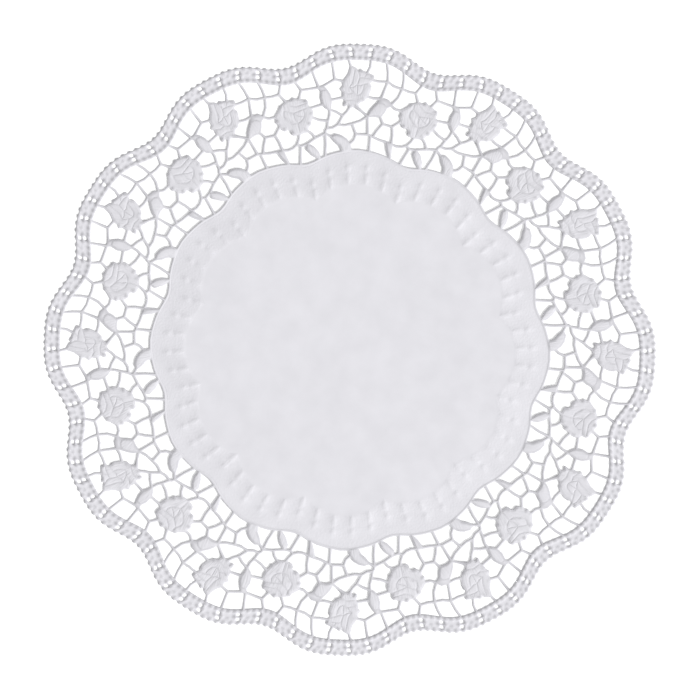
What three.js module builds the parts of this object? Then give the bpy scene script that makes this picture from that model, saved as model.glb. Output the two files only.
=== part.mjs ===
// A round paper doily, made as the real one is: a single sheet, die-cut into lace round a plain centre.
// Twelve like repeats of 30 degrees run round the Z axis, each with a crown rose under the top of its
// scallop, a valley rose under the dip beside it, five leaves and the thin brides that join them.
// Millimetres, +Z up. The sheet lies flat on Z = 0, with its centre on the Z axis.
import * as THREE from "three";

// Driving dimensions
const REPEATS = 12;
const SHEET_THICKNESS = 1; // the least that a solid sheet has here; the paper itself is about 0.12
const BRIDE_WIDTH = 1.2;
const FIRST_CROWN_ANGLE = 87.9; // degrees from +X to the top of the first scallop
const MOST_GAPS = 300; // the largest 25 gaps of each repeat
const OUTER_EDGE_STEPS = 12; // corners of the outer edge in one repeat
const RING_STEP = 2.6; // degrees, about the length of a straight on the rim's and the centre's lines
const SMALL_BOW = 0.25; // a strand that bows less than this is straight
const WIDE_BOW = 1.05; // a strand that bows more than this takes three straights, others two
const FLAT_CORNER = 0.29; // a corner that stands out less than this from its neighbours is dropped

// Scalloped rings: the radius at a turn is mean + wave * cos(12 turn) + crest * cos(24 turn)
const OUTER_EDGE = { mean: 146.7, wave: 4.17, crest: -1.03 };
const RIM_LINE = { mean: 139.35, wave: 4.4, crest: -1.05 };
const CENTRE_LINE = { mean: 95.9, wave: 2.2, crest: -0.35 };

const PAPER_COLOUR = 0xe4e3e8;
const PAPER_ROUGHNESS = 0.85;

// The chart of one repeat. A turn is in degrees clockwise, seen from above, from the crown of the
// scallop, and a radius is in millimetres. Every line is the middle of a cord one bride wide.

// Junctions on the scalloped rings: [name, turn]
const RIM_JUNCTIONS = [
  ["rimA", -13.7],
  ["rimB", -9.8],
  ["rimC", -5.6],
  ["rimD", -2.3],
  ["rimE", 2.1],
  ["rimF", 5.3],
  ["rimG", 8.9],
  ["rimH", 13.3],
];
const CENTRE_JUNCTIONS = [
  ["centreA", -10.9],
  ["centreB", -9.4],
  ["centreC", -4.2],
  ["centreD", -1.9],
  ["centreE", 3.4],
  ["centreF", 9.7],
  ["centreG", 12.9],
];

// Junctions of the net, in the directions of the scallop's crown: [name, across, outward]
const NET_JUNCTIONS = [
  ["leftFork", -28.5, 126.2],
  ["leafATop", -20, 127.9],
  ["leafAShoulder", -18, 128.6],
  ["leafANeckLeft", -18.7, 126.3],
  ["leafANeckRight", -16.2, 126.8],
  ["leafARight", -13.8, 122],
  ["leafAFoot", -14.2, 117.3],
  ["leafALeft", -17.7, 119.8],
  ["crownFork", -12.3, 132.2],
  ["stemFork", -7.6, 114.5],
  ["stemBend", -9.9, 110],
  ["mainUpper", -14.7, 111.7],
  ["mainMiddle", -15.2, 107.9],
  ["mainLower", -15.9, 105.6],
  ["mainBend", -20.5, 103.1],
  ["leafDTop", -24.7, 100],
  ["leafDLeft", -24.7, 97.5],
  ["sprigLeft", -2.9, 110.8],
  ["sprigFoot", -0.9, 105.6],
  ["leafCTip", -12.8, 104],
  ["leafCTop", -10.9, 105],
  ["leafCRight", -3.9, 100.7],
  ["leafCLeft", -8.6, 100],
  ["crossLeft", 4.9, 105.7],
  ["crossMiddle", 6.2, 105.1],
  ["crossRight", 7.4, 104.7],
  ["leafBTip", 4.5, 114.7],
  ["leafBCheek", 7, 119.2],
  ["leafBTop", 10.8, 123.5],
  ["leafBKnot", 14.1, 122.7],
  ["leafBRight", 15.8, 120.6],
  ["leafBNeckLeft", 9.2, 121.4],
  ["leafBNeckRight", 13.5, 119.3],
  ["leafBCorner", 10.7, 114.8],
  ["forkB", 12.1, 111.1],
  ["forkE", 16.8, 109.9],
  ["leafETop", 14, 102.3],
  ["leafERight", 16.6, 101.6],
  ["loopFork", 24.2, 100.9],
  ["loopFoot", 25.5, 99.3],
  ["curveInner", 13.8, 131.9],
  ["curveOuter", 21.1, 128.6],
  ["rightFork", 27.8, 126.8],
];

// The roses' outlines, clockwise: [across, outward, bow of the strand that leads on from here]
const CROWN_ROSE = {
  name: "crown",
  turn: -0.7,
  radius: 129.5,
  outline: [
    [-2.9, 9.4, 0.4],
    [0.6, 6.8, 0.9],
    [3, 6.9, 0],
    [5.1, 6.1, 0],
    [7.9, 4.9, 0.2],
    [7.6, 2.9, 0],
    [6.1, 1.6, 1],
    [5.3, -5.2, 0.5],
    [1.3, -7.8, 0],
    [0.2, -10.3, -0.4],
    [-2.8, -10.4, 0],
    [-4.1, -8.9, 0],
    [-5.6, -9.4, 0],
    [-5.3, -7.3, 0],
    [-6.3, -5.9, 0.1],
    [-6.4, -3, 0],
    [-7.5, -1.7, 0],
    [-6.4, -0.4, 0],
    [-6.3, 2.1, 0],
    [-3.9, 5.5, 0],
  ],
};
const VALLEY_ROSE = {
  name: "valley",
  turn: 14.5,
  radius: 119,
  outline: [
    [-0.2, 6.4, 0.9],
    [2.5, 6.4, 0],
    [4.1, 6.1, 0],
    [6.2, 4.9, 0.5],
    [7.7, 3.8, 0],
    [7.2, 1.6, 0],
    [8.7, 0.6, 0.6],
    [8.1, -3.8, 0],
    [7.1, -5.6, 0.6],
    [5.6, -7.5, 0],
    [4.3, -9.5, 0],
    [0.6, -10.4, 0],
    [-2.4, -10, 0],
    [-3.1, -7.6, 0],
    [-4.4, -6.6, 0.7],
    [-7.2, -5.9, 0],
    [-8.2, -4.9, 0],
    [-8.2, -3.2, 0.7],
    [-8.9, -0.9, 0],
    [-9.3, 0.3, 0],
    [-6.6, 3.2, 0.5],
    [-4.3, 5.2, 0],
    [-2.4, 6.3, 0],
  ],
};

// Strands of the net: [from, to, bow]. A bow is the height of the strand's arc, in millimetres, to
// the left of the way it runs. "<" before a name means the repeat before this one, and crown0 or
// valley0 is the first corner of that rose's outline.
const STRANDS = [
  // Under the rim
  ["rimA", "leftFork", 0],
  ["leftFork", "<valley2", 0],
  ["leftFork", "leafATop", -0.2],
  ["rimB", "leafATop", 0.2],
  ["rimC", "crownFork", 0],
  ["crownFork", "leafAShoulder", -0.2],
  ["crownFork", "crown18", -0.15],
  ["rimD", "crown0", 0],
  ["rimE", "crown3", 0.7],
  ["rimF", "curveInner", 0.3],
  ["curveInner", "leafBTop", 0],
  ["rimG", "curveOuter", 0.35],
  ["curveOuter", "leafBRight", 0.8],
  ["crown5", "curveInner", -0.3],
  ["curveInner", "curveOuter", -0.6],
  ["curveOuter", "rightFork", -0.35],
  ["rightFork", "rimH", 0],
  ["rightFork", "valley22", 0],
  // Leaf A and its neighbours
  ["leafATop", "leafAShoulder", 0],
  ["leafATop", "leafANeckLeft", 0],
  ["leafAShoulder", "leafANeckRight", 0],
  ["leafANeckLeft", "leafANeckRight", 0.35],
  ["leafANeckRight", "leafARight", 0.4],
  ["leafARight", "leafAFoot", 0.15],
  ["leafAFoot", "leafALeft", 0.3],
  ["leafALeft", "leafANeckLeft", 0.6],
  ["leafARight", "crown14", -0.2],
  ["<valley6", "leafALeft", 0],
  ["leafAFoot", "stemFork", 0.35],
  // Leaf B and its neighbours
  ["leafBTip", "leafBCheek", 0.4],
  ["leafBCheek", "leafBNeckLeft", 0],
  ["leafBNeckLeft", "leafBTop", 0],
  ["leafBNeckLeft", "leafBNeckRight", 1.1],
  ["leafBTop", "leafBKnot", 0],
  ["leafBKnot", "leafBRight", 0],
  ["leafBRight", "leafBNeckRight", 0],
  ["leafBNeckRight", "leafBCorner", 0.25],
  ["leafBCorner", "leafBTip", -0.35],
  ["crown7", "leafBTop", -0.45],
  ["leafBRight", "valley19", -0.75],
  ["crown9", "leafBTip", 0],
  ["leafBCorner", "forkB", 0],
  // The main stem
  ["leafAFoot", "mainUpper", 0.35],
  ["<valley7", "mainUpper", -0.5],
  ["mainUpper", "mainMiddle", 0],
  ["mainMiddle", "mainLower", -0.3],
  ["mainLower", "mainBend", 0],
  ["mainBend", "<valley10", -0.5],
  ["mainBend", "leafDTop", 0],
  ["leafDTop", "<loopFoot", 0],
  ["mainLower", "centreB", 0.35],
  // The crown rose's stem
  ["crown10", "stemFork", 0.3],
  ["stemFork", "stemBend", 0],
  ["stemBend", "mainMiddle", 0.6],
  ["stemBend", "sprigLeft", -0.55],
  ["sprigLeft", "leafBTip", -0.55],
  ["sprigLeft", "sprigFoot", 0],
  ["sprigFoot", "leafCRight", 0.7],
  ["sprigFoot", "crossLeft", -0.15],
  ["leafBTip", "crossLeft", 0],
  ["crossLeft", "crossMiddle", 0],
  ["crossMiddle", "crossRight", 0],
  ["crossMiddle", "centreE", 0],
  ["forkB", "crossRight", -0.25],
  ["forkB", "forkE", 0],
  ["forkE", "valley16", -0.15],
  ["forkE", "leafERight", 0.35],
  ["crossRight", "leafETop", -0.25],
  // The valley rose's looped stem
  ["valley11", "loopFork", 0.25],
  ["loopFork", "leafERight", 1.1],
  ["loopFork", "loopFoot", 0],
  ["loopFoot", "centreG", 0],
  // Leaves C, D and E, which stand on the plain centre's edge
  ["mainLower", "leafCTip", 0],
  ["leafCTip", "leafCTop", 0],
  ["leafCTop", "leafCRight", 1.1],
  ["leafCRight", "centreD", 0],
  ["centreC", "leafCLeft", 0],
  ["leafCLeft", "leafCTip", 0.3],
  ["leafDTop", "centreA", 1.4],
  ["centreA", "leafDLeft", 0.55],
  ["leafDLeft", "leafDTop", 0],
  ["leafETop", "leafERight", 0],
  ["leafERight", "centreF", 0.2],
  ["centreF", "leafETop", 0.35],
];

// Places that stay paper, beside the roses: [across, outward]. Every other cell of the net is a gap.
const PAPER_PLACES = [
  [-16.2, 122.5], // leaf A
  [-18.1, 127.5], // its neck
  [10, 118.5], // leaf B
  [13, 121.3], // its neck
  [-9.5, 103], // leaf C
  [-21.5, 96.8], // leaf D
  [15.3, 100], // leaf E
  [0, 0], // the plain centre
];

// A place of the chart in the sheet's plane
function place(turn, radius, repeat) {
  const angle = THREE.MathUtils.degToRad(FIRST_CROWN_ANGLE - turn - (repeat * 360) / REPEATS);
  return new THREE.Vector2(radius * Math.cos(angle), radius * Math.sin(angle));
}

function scallopRadius(ring, turn) {
  const phase = THREE.MathUtils.degToRad(REPEATS * turn);
  return ring.mean + ring.wave * Math.cos(phase) + ring.crest * Math.cos(2 * phase);
}

// A place given across and outward from the sheet's middle, in the directions of a turn
function placeAcross(across, outward, turn, repeat) {
  const aside = THREE.MathUtils.radToDeg(Math.atan2(across, outward));
  return place(turn + aside, Math.hypot(across, outward), repeat);
}

function rosePlace(rose, across, outward, repeat) {
  return placeAcross(across, rose.radius + outward, rose.turn, repeat);
}

// The full name of a junction: its repeat, counted round, and its name in the chart
function junctionKey(name, repeat) {
  const before = name.startsWith("<");
  const own = before ? name.slice(1) : name;
  const owner = (repeat + (before ? REPEATS - 1 : 0)) % REPEATS;
  return owner + ":" + own;
}

// The points of a strand from one place to another, bowed to its left
function bowedStrand(start, end, bow) {
  const straights = Math.abs(bow) < SMALL_BOW ? 1 : Math.abs(bow) > WIDE_BOW ? 3 : 2;
  const left = new THREE.Vector2(start.y - end.y, end.x - start.x).normalize();
  const points = [];
  for (let step = 0; step <= straights; step++) {
    const along = step / straights;
    const rise = 4 * bow * along * (1 - along);
    points.push(start.clone().lerp(end, along).addScaledVector(left, rise));
  }
  return points;
}

// The points of a scalloped ring between two turns
function ringStrand(ring, fromTurn, toTurn, repeat) {
  const straights = Math.max(1, Math.round((toTurn - fromTurn) / RING_STEP));
  const points = [];
  for (let step = 0; step <= straights; step++) {
    const turn = THREE.MathUtils.lerp(fromTurn, toTurn, step / straights);
    points.push(place(turn, scallopRadius(ring, turn), repeat));
  }
  return points;
}

// All junctions and strands of the twelve repeats
function layNet() {
  const junctions = new Map();
  const strands = [];
  for (let repeat = 0; repeat < REPEATS; repeat++) {
    const put = (name, point) => junctions.set(junctionKey(name, repeat), point);
    for (const [name, turn] of RIM_JUNCTIONS) {
      put(name, place(turn, scallopRadius(RIM_LINE, turn), repeat));
    }
    for (const [name, turn] of CENTRE_JUNCTIONS) {
      put(name, place(turn, scallopRadius(CENTRE_LINE, turn), repeat));
    }
    for (const [name, across, outward] of NET_JUNCTIONS) {
      put(name, placeAcross(across, outward, 0, repeat));
    }
    for (const rose of [CROWN_ROSE, VALLEY_ROSE]) {
      rose.outline.forEach(([across, outward], index) => {
        put(rose.name + index, rosePlace(rose, across, outward, repeat));
      });
    }
  }
  for (let repeat = 0; repeat < REPEATS; repeat++) {
    const tie = (from, to, points) => strands.push({ from, to, points });
    const key = (name) => junctionKey(name, repeat);
    for (const [ring, row] of [
      [RIM_LINE, RIM_JUNCTIONS],
      [CENTRE_LINE, CENTRE_JUNCTIONS],
    ]) {
      row.forEach(([name, turn], index) => {
        const last = index === row.length - 1;
        const [nextName, nextTurn] = row[last ? 0 : index + 1];
        const toTurn = last ? nextTurn + 360 / REPEATS : nextTurn;
        const toKey = last ? junctionKey(nextName, (repeat + 1) % REPEATS) : key(nextName);
        tie(key(name), toKey, ringStrand(ring, turn, toTurn, repeat));
      });
    }
    for (const rose of [CROWN_ROSE, VALLEY_ROSE]) {
      rose.outline.forEach(([, , bow], index) => {
        const from = key(rose.name + index);
        const to = key(rose.name + ((index + 1) % rose.outline.length));
        tie(from, to, bowedStrand(junctions.get(from), junctions.get(to), bow));
      });
    }
    for (const [fromName, toName, bow] of STRANDS) {
      const from = key(fromName);
      const to = key(toName);
      tie(from, to, bowedStrand(junctions.get(from), junctions.get(to), bow));
    }
  }
  return strands;
}

// The cells of the net, each a loop of points: at every junction a walk takes the next strand
// round, so it comes back to its start with one cell of the net on its left
function traceCells(strands) {
  const ways = strands.flatMap(({ from, to, points }) => [
    { from, to, points },
    { from: to, to: from, points: [...points].reverse() },
  ]);
  ways.forEach((way, index) => {
    const [start, second] = way.points;
    way.back = ways[index ^ 1];
    way.heading = Math.atan2(second.y - start.y, second.x - start.x);
  });
  const fans = new Map();
  for (const way of ways) {
    if (!fans.has(way.from)) fans.set(way.from, []);
    fans.get(way.from).push(way);
  }
  for (const fan of fans.values()) {
    fan.sort((a, b) => a.heading - b.heading);
    fan.forEach((way, index) => {
      way.back.next = fan[(index + fan.length - 1) % fan.length];
    });
  }
  const cells = [];
  const walked = new Set();
  for (const first of ways) {
    if (walked.has(first)) continue;
    const loop = [];
    for (let way = first; !walked.has(way); way = way.next) {
      walked.add(way);
      loop.push(...way.points.slice(0, -1));
    }
    cells.push(loop);
  }
  return cells;
}

function isInside(point, loop) {
  let inside = false;
  loop.forEach((a, index) => {
    const b = loop[(index + 1) % loop.length];
    const crosses = a.y > point.y !== b.y > point.y;
    if (crosses && point.x < a.x + ((point.y - a.y) * (b.x - a.x)) / (b.y - a.y)) inside = !inside;
  });
  return inside;
}

// A loop without the corners that lie almost on the line between their neighbours
function dropFlatCorners(loop) {
  const kept = [...loop];
  for (let index = kept.length - 1; index >= 0; index--) {
    const before = kept[(index + kept.length - 1) % kept.length];
    const after = kept[(index + 1) % kept.length];
    const side = after.clone().sub(before);
    const rise = Math.abs(side.cross(kept[index].clone().sub(before))) / side.length();
    if (rise < FLAT_CORNER) kept.splice(index, 1);
  }
  return kept;
}

// A loop drawn in by a margin on every side: each corner moves to where its two moved sides meet
function drawIn(loop, margin) {
  return loop.map((corner, index) => {
    const before = loop[(index + loop.length - 1) % loop.length];
    const after = loop[(index + 1) % loop.length];
    const inward = corner.clone().sub(before).normalize();
    const outward = after.clone().sub(corner).normalize();
    const bend = inward.clone().add(outward).normalize();
    const left = new THREE.Vector2(-bend.y, bend.x);
    const reach = margin / Math.max(0.5, left.dot(new THREE.Vector2(-inward.y, inward.x)));
    return corner.clone().addScaledVector(left, reach);
  });
}

function cutGaps() {
  const places = [];
  for (let repeat = 0; repeat < REPEATS; repeat++) {
    for (const rose of [CROWN_ROSE, VALLEY_ROSE]) places.push(rosePlace(rose, 0, 0, repeat));
    for (const [across, outward] of PAPER_PLACES) places.push(placeAcross(across, outward, 0, repeat));
  }
  const gaps = traceCells(layNet())
    .filter((loop) => THREE.ShapeUtils.area(loop) > 0)
    .filter((loop) => !places.some((point) => isInside(point, loop)))
    .map((loop) => drawIn(dropFlatCorners(loop), BRIDE_WIDTH / 2));
  gaps.sort((a, b) => THREE.ShapeUtils.area(b) - THREE.ShapeUtils.area(a));
  return gaps.slice(0, MOST_GAPS);
}

function outerEdge() {
  const edge = [];
  const corners = REPEATS * OUTER_EDGE_STEPS;
  for (let corner = 0; corner < corners; corner++) {
    const turn = (-corner * 360) / corners;
    edge.push(place(turn, scallopRadius(OUTER_EDGE, turn), 0));
  }
  return edge;
}

function makeSheet() {
  const shape = new THREE.Shape(outerEdge());
  shape.holes = cutGaps().map((gap) => new THREE.Path(gap.reverse()));
  const solid = { depth: SHEET_THICKNESS, bevelEnabled: false, curveSegments: 1 };
  return new THREE.ExtrudeGeometry(shape, solid);
}

const paper = new THREE.MeshStandardMaterial({
  color: PAPER_COLOUR,
  roughness: PAPER_ROUGHNESS,
  metalness: 0,
});
const sheet = new THREE.Mesh(makeSheet(), paper);
sheet.name = "lace_sheet";

const doily = new THREE.Group();
doily.add(sheet);
export default doily;
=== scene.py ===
# %% [markdown]
# A paper doily is one thin sheet. A heated die cuts the lace and presses the relief in one stroke.
# So it is modelled as one sheet too: first the flat net of cords and paper, then the cut gaps,
# then the relief, and last the paper's thickness. It has the size and the outline of the solid
# model that it stands for.

# %% The frame, the tools and the units
import math
from collections import Counter

import bmesh
import bpy
from mathutils import Matrix, Vector, kdtree, noise


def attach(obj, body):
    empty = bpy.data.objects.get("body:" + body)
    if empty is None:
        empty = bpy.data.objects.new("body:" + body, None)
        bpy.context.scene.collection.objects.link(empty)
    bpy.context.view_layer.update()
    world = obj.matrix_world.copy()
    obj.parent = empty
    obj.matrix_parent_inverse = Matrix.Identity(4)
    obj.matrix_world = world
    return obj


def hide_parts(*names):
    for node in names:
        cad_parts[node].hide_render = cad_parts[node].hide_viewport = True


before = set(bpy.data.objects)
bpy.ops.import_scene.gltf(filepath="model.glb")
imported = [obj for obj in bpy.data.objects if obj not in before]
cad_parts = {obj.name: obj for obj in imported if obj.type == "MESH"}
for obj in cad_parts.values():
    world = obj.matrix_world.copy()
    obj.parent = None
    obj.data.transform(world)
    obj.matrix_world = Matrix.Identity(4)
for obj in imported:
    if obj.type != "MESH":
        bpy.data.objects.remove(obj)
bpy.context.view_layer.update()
MM = 0.001

# %% [markdown]
# The photo looks straight down on the doily, with the whole sheet in a square frame. A camera one
# metre above the middle does the same. Its lens follows from the width of floor that it has to see.

# %% Camera
CAMERA_HEIGHT = 1.0
SEEN_WIDTH = 343.14 * MM
SENSOR_WIDTH = 36

lens = bpy.data.cameras.new("camera")
lens.sensor_width = SENSOR_WIDTH
lens.lens = SENSOR_WIDTH * CAMERA_HEIGHT / SEEN_WIDTH
camera = bpy.data.objects.new("camera", lens)
camera.location = (0, 0, CAMERA_HEIGHT)
bpy.context.scene.collection.objects.link(camera)
bpy.context.scene.camera = camera
print("lens, mm:", round(lens.lens, 1))

# %% [markdown]
# White paper on a white floor only shows by its shade, so the light does half the work. The relief
# is about half a millimetre high. One broad lamp from the lower right, not too high, brings out
# the cords, and an even sky fills the shade. The floor glows a little, so that it stays white in
# the gaps of the lace. The plain view transform keeps the whites neutral.

# %% Floor and light
LAMP_AZIMUTH = -32
LAMP_ELEVATION = 34
LAMP_SPREAD = 22
LAMP_STRENGTH = 3
SKY_STRENGTH = 0.545
FLOOR_SIZE = 12
FLOOR_DROP = 0.02 * MM
FLOOR_GLOW = 0.16


def plain_material(name, colour, roughness):
    material = bpy.data.materials.new(name)
    material.use_nodes = True
    shader = material.node_tree.nodes["Principled BSDF"]
    shader.inputs["Base Color"].default_value = (*colour, 1)
    shader.inputs["Roughness"].default_value = roughness
    shader.inputs["Specular IOR Level"].default_value = 0
    return material


def make_floor():
    shape = bmesh.new()
    bmesh.ops.create_grid(shape, x_segments=1, y_segments=1, size=FLOOR_SIZE / 2)
    bmesh.ops.translate(shape, verts=shape.verts, vec=(0, 0, -FLOOR_DROP))
    mesh = bpy.data.meshes.new("floor")
    shape.to_mesh(mesh)
    shape.free()
    floor = bpy.data.objects.new("floor", mesh)
    pale = plain_material("pale_floor", (0.97, 0.97, 0.97), 1)
    shader = pale.node_tree.nodes["Principled BSDF"]
    shader.inputs["Emission Color"].default_value = (1, 1, 1, 1)
    shader.inputs["Emission Strength"].default_value = FLOOR_GLOW
    floor.data.materials.append(pale)
    bpy.context.scene.collection.objects.link(floor)


def light_scene():
    lamp = bpy.data.lights.new("broad_lamp", "SUN")
    lamp.energy = LAMP_STRENGTH
    lamp.angle = math.radians(LAMP_SPREAD)
    holder = bpy.data.objects.new("broad_lamp", lamp)
    azimuth = math.radians(LAMP_AZIMUTH)
    elevation = math.radians(LAMP_ELEVATION)
    towards = Vector(
        (
            math.cos(azimuth) * math.cos(elevation),
            math.sin(azimuth) * math.cos(elevation),
            math.sin(elevation),
        )
    )
    holder.rotation_euler = towards.to_track_quat("Z", "Y").to_euler()
    bpy.context.scene.collection.objects.link(holder)
    world = bpy.data.worlds.new("even_sky")
    world.use_nodes = True
    sky = world.node_tree.nodes["Background"]
    sky.inputs["Color"].default_value = (1, 1, 1, 1)
    sky.inputs["Strength"].default_value = SKY_STRENGTH
    bpy.context.scene.world = world
    bpy.context.scene.view_settings.view_transform = "Standard"


make_floor()
light_scene()
print("lamp from", LAMP_AZIMUTH, "degrees, sky", SKY_STRENGTH)

# %% [markdown]
# The lace repeats twelve times round the sheet, like the teeth of a gear, so only one repeat is
# charted, in millimetres. A place on a wavy ring needs only its turn, in degrees clockwise from the
# top of a scallop. The ring's radius is a mean with cosines on it: the first gives the twelve
# scallops, and the others make their tops broad and the dips between them tight.

# %% The chart's frame
REPEATS = 12
REPEAT_TURN = 360 / REPEATS
FIRST_CROWN_ANGLE = 87.9

OUTER_EDGE = (146.7, 4.17, -1.03)
RIM_LINE = (139.35, 4.4, -1.05)
CENTRE_LINE = (95.9, 2.2, -0.35, 0.2)


def place(turn, radius):
    angle = math.radians(FIRST_CROWN_ANGLE - turn)
    return Vector((radius * math.cos(angle), radius * math.sin(angle), 0))


def turn_of(point):
    return FIRST_CROWN_ANGLE - math.degrees(math.atan2(point.y, point.x))


def ring_radius(ring, turn):
    mean, *waves = ring
    phase = math.radians(REPEATS * turn)
    return mean + sum(wave * math.cos(order * phase) for order, wave in enumerate(waves, 1))


print("scallop top", round(ring_radius(OUTER_EDGE, 0), 2), "mm from the middle,")
print("dip", round(ring_radius(OUTER_EDGE, 15), 2), "mm")

# %% [markdown]
# A cord of the lace is drawn as its middle line. The lines meet at named junctions, given across
# and outward from the sheet's middle, with the scallop upright. Those of a rose are given from the
# rose's own middle, because a flower is easier to chart by itself. Each row of an outline also
# holds the bow of the line that leads on from it, and each row of the knobs says how strong it is.

# %% Junctions of the net
RIM_JUNCTIONS = {
    "rimA": -13.7,
    "rimB": -9.8,
    "rimC": -5.6,
    "rimD": -2.3,
    "rimE": 2.1,
    "rimF": 5.3,
    "rimG": 8.9,
    "rimH": 13.3,
}
CENTRE_JUNCTIONS = {
    "centreA": -10.9,
    "centreB": -9.4,
    "centreC": -4.2,
    "centreD": -1.9,
    "centreE": 3.4,
    "centreF": 9.7,
    "centreG": 12.9,
}
NET_JUNCTIONS = {
    "leftFork": (-28.5, 126.2),
    "leafATop": (-20, 127.9),
    "leafAShoulder": (-18, 128.6),
    "leafANeckLeft": (-18.7, 126.3),
    "leafANeckRight": (-16.2, 126.8),
    "leafARight": (-13.8, 122),
    "leafAFoot": (-14.2, 117.3),
    "leafALeft": (-17.7, 119.8),
    "crownFork": (-12.3, 132.2),
    "stemFork": (-7.6, 114.5),
    "stemBend": (-9.9, 110),
    "mainUpper": (-14.7, 111.7),
    "mainMiddle": (-15.2, 107.9),
    "mainLower": (-15.9, 105.6),
    "mainBend": (-20.5, 103.1),
    "leafDTop": (-24.7, 100),
    "leafDLeft": (-24.7, 97.5),
    "sprigLeft": (-2.9, 110.8),
    "sprigFoot": (-0.9, 105.6),
    "leafCTip": (-12.8, 104),
    "leafCTop": (-10.9, 105),
    "leafCRight": (-3.9, 100.7),
    "leafCLeft": (-8.6, 100),
    "crossLeft": (4.9, 105.7),
    "crossMiddle": (6.2, 105.1),
    "crossRight": (7.4, 104.7),
    "leafBTip": (4.5, 114.7),
    "leafBCheek": (7, 119.2),
    "leafBTop": (10.8, 123.5),
    "leafBKnot": (14.1, 122.7),
    "leafBRight": (15.8, 120.6),
    "leafBNeckLeft": (9.2, 121.4),
    "leafBNeckRight": (13.5, 119.3),
    "leafBCorner": (10.7, 114.8),
    "forkB": (12.1, 111.1),
    "forkE": (16.8, 109.9),
    "leafETop": (14, 102.3),
    "leafERight": (16.6, 101.6),
    "loopFork": (24.2, 100.9),
    "loopFoot": (25.5, 99.3),
    "curveInner": (13.8, 131.9),
    "curveOuter": (21.1, 128.6),
    "rightFork": (27.8, 126.8),
}
print(len(RIM_JUNCTIONS), "junctions on the rim,", len(CENTRE_JUNCTIONS), "on the centre's edge")

# %% The two roses
CROWN_ROSE = {
    "name": "crown",
    "turn": -0.7,
    "radius": 129.5,
    "outline": [
        (-2.9, 9.4, 0.4),
        (0.6, 6.8, 0.9),
        (3, 6.9, 0),
        (5.1, 6.1, 0),
        (7.9, 4.9, 0.2),
        (7.6, 2.9, 0),
        (6.1, 1.6, 1),
        (5.3, -5.2, 0.5),
        (1.3, -7.8, 0),
        (0.2, -10.3, -0.4),
        (-2.8, -10.4, 0),
        (-4.1, -8.9, 0),
        (-5.6, -9.4, 0),
        (-5.3, -7.3, 0),
        (-6.3, -5.9, 0.1),
        (-6.4, -3, 0),
        (-7.5, -1.7, 0),
        (-6.4, -0.4, 0),
        (-6.3, 2.1, 0),
        (-3.9, 5.5, 0),
    ],
    "folds": {
        "crownUpper": (-1.8, 3.4),
        "crownSide": (-3.5, -0.8),
        "crownTop": (1.4, 4.2),
        "crownRidge": (3.6, 4.2),
        "crownHeart": (0.3, 0.6),
        "crownRight": (3.5, 0.9),
        "crownLow": (2.4, -3.4),
        "crownBase": (0.3, -4.4),
        "crownBud": (-1.6, -3.3),
    },
    "knobs": [
        (2.2, 6.9, 1),
        (7.7, 4.2, 1),
        (5.2, 5.6, 0.6),
        (-3.5, 6.3, 0.6),
        (-0.6, 7.7, 0.5),
        (-6.2, 1.6, 0.6),
        (-6.1, -4.1, 0.7),
        (-5.3, -9.1, 1),
        (-2.7, -10.1, 0.7),
        (0.2, -10.1, 1),
        (6.7, -0.6, 0.7),
        (3.3, -6.7, 0.8),
        (1.6, -7.4, 0.7),
        (-3.5, -0.9, 0.5),
        (-1.5, -3, 0.5),
    ],
}
VALLEY_ROSE = {
    "name": "valley",
    "turn": 14.5,
    "radius": 119,
    "outline": [
        (-0.2, 6.4, 0.9),
        (2.5, 6.4, 0),
        (4.1, 6.1, 0),
        (6.2, 4.9, 0.5),
        (7.7, 3.8, 0),
        (7.2, 1.6, 0),
        (8.7, 0.6, 0.6),
        (8.1, -3.8, 0),
        (7.1, -5.6, 0.6),
        (5.6, -7.5, 0),
        (4.3, -9.5, 0),
        (0.6, -10.4, 0),
        (-2.4, -10, 0),
        (-3.1, -7.6, 0),
        (-4.4, -6.6, 0.7),
        (-7.2, -5.9, 0),
        (-8.2, -4.9, 0),
        (-8.2, -3.2, 0.7),
        (-8.9, -0.9, 0),
        (-9.3, 0.3, 0),
        (-6.6, 3.2, 0.5),
        (-4.3, 5.2, 0),
        (-2.4, 6.3, 0),
    ],
    "folds": {
        "valleyLeft": (-4.2, 2.7),
        "valleySide": (-5.3, -0.4),
        "valleyLower": (-3.9, -2.5),
        "valleyFoot": (0.7, -5),
        "valleyTurn": (4.4, -2.6),
        "valleyRight": (4.6, 1),
        "valleyHeart": (-0.3, 0.2),
        "valleyTop": (1.6, 3.3),
    },
    "knobs": [
        (1.2, 6.6, 1),
        (6.9, 4.1, 1),
        (7.1, 2.4, 0.6),
        (8.4, -1.8, 0.8),
        (6.2, -6.5, 0.9),
        (3.9, -9.3, 0.8),
        (-2.5, -9, 1),
        (-6, -6.5, 0.9),
        (-8.6, -2.1, 0.8),
        (-5.5, 4.3, 0.8),
        (-2.3, 6.2, 0.5),
        (4.1, 6, 0.5),
        (-4, -1.7, 0.5),
        (-0.4, -0.1, 0.5),
        (-1.3, -4.5, 0.5),
        (4.3, 1, 0.4),
        (2.6, -4.3, 0.5),
    ],
}
print("corners of the roses:", len(CROWN_ROSE["outline"]), "and", len(VALLEY_ROSE["outline"]))

# %% [markdown]
# The lines themselves are a table: from where, to where, and how far the line bows to its left.
# Cords run between the gaps and round the leaves. Folds run inside the roses, where the die leaves
# a groove between two petals. A rose's outline needs no rows here, as its corners are in order. A
# name with "<" before it belongs to the repeat before this one, and one that ends in .5 is halfway
# along a side of a rose's outline.

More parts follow.
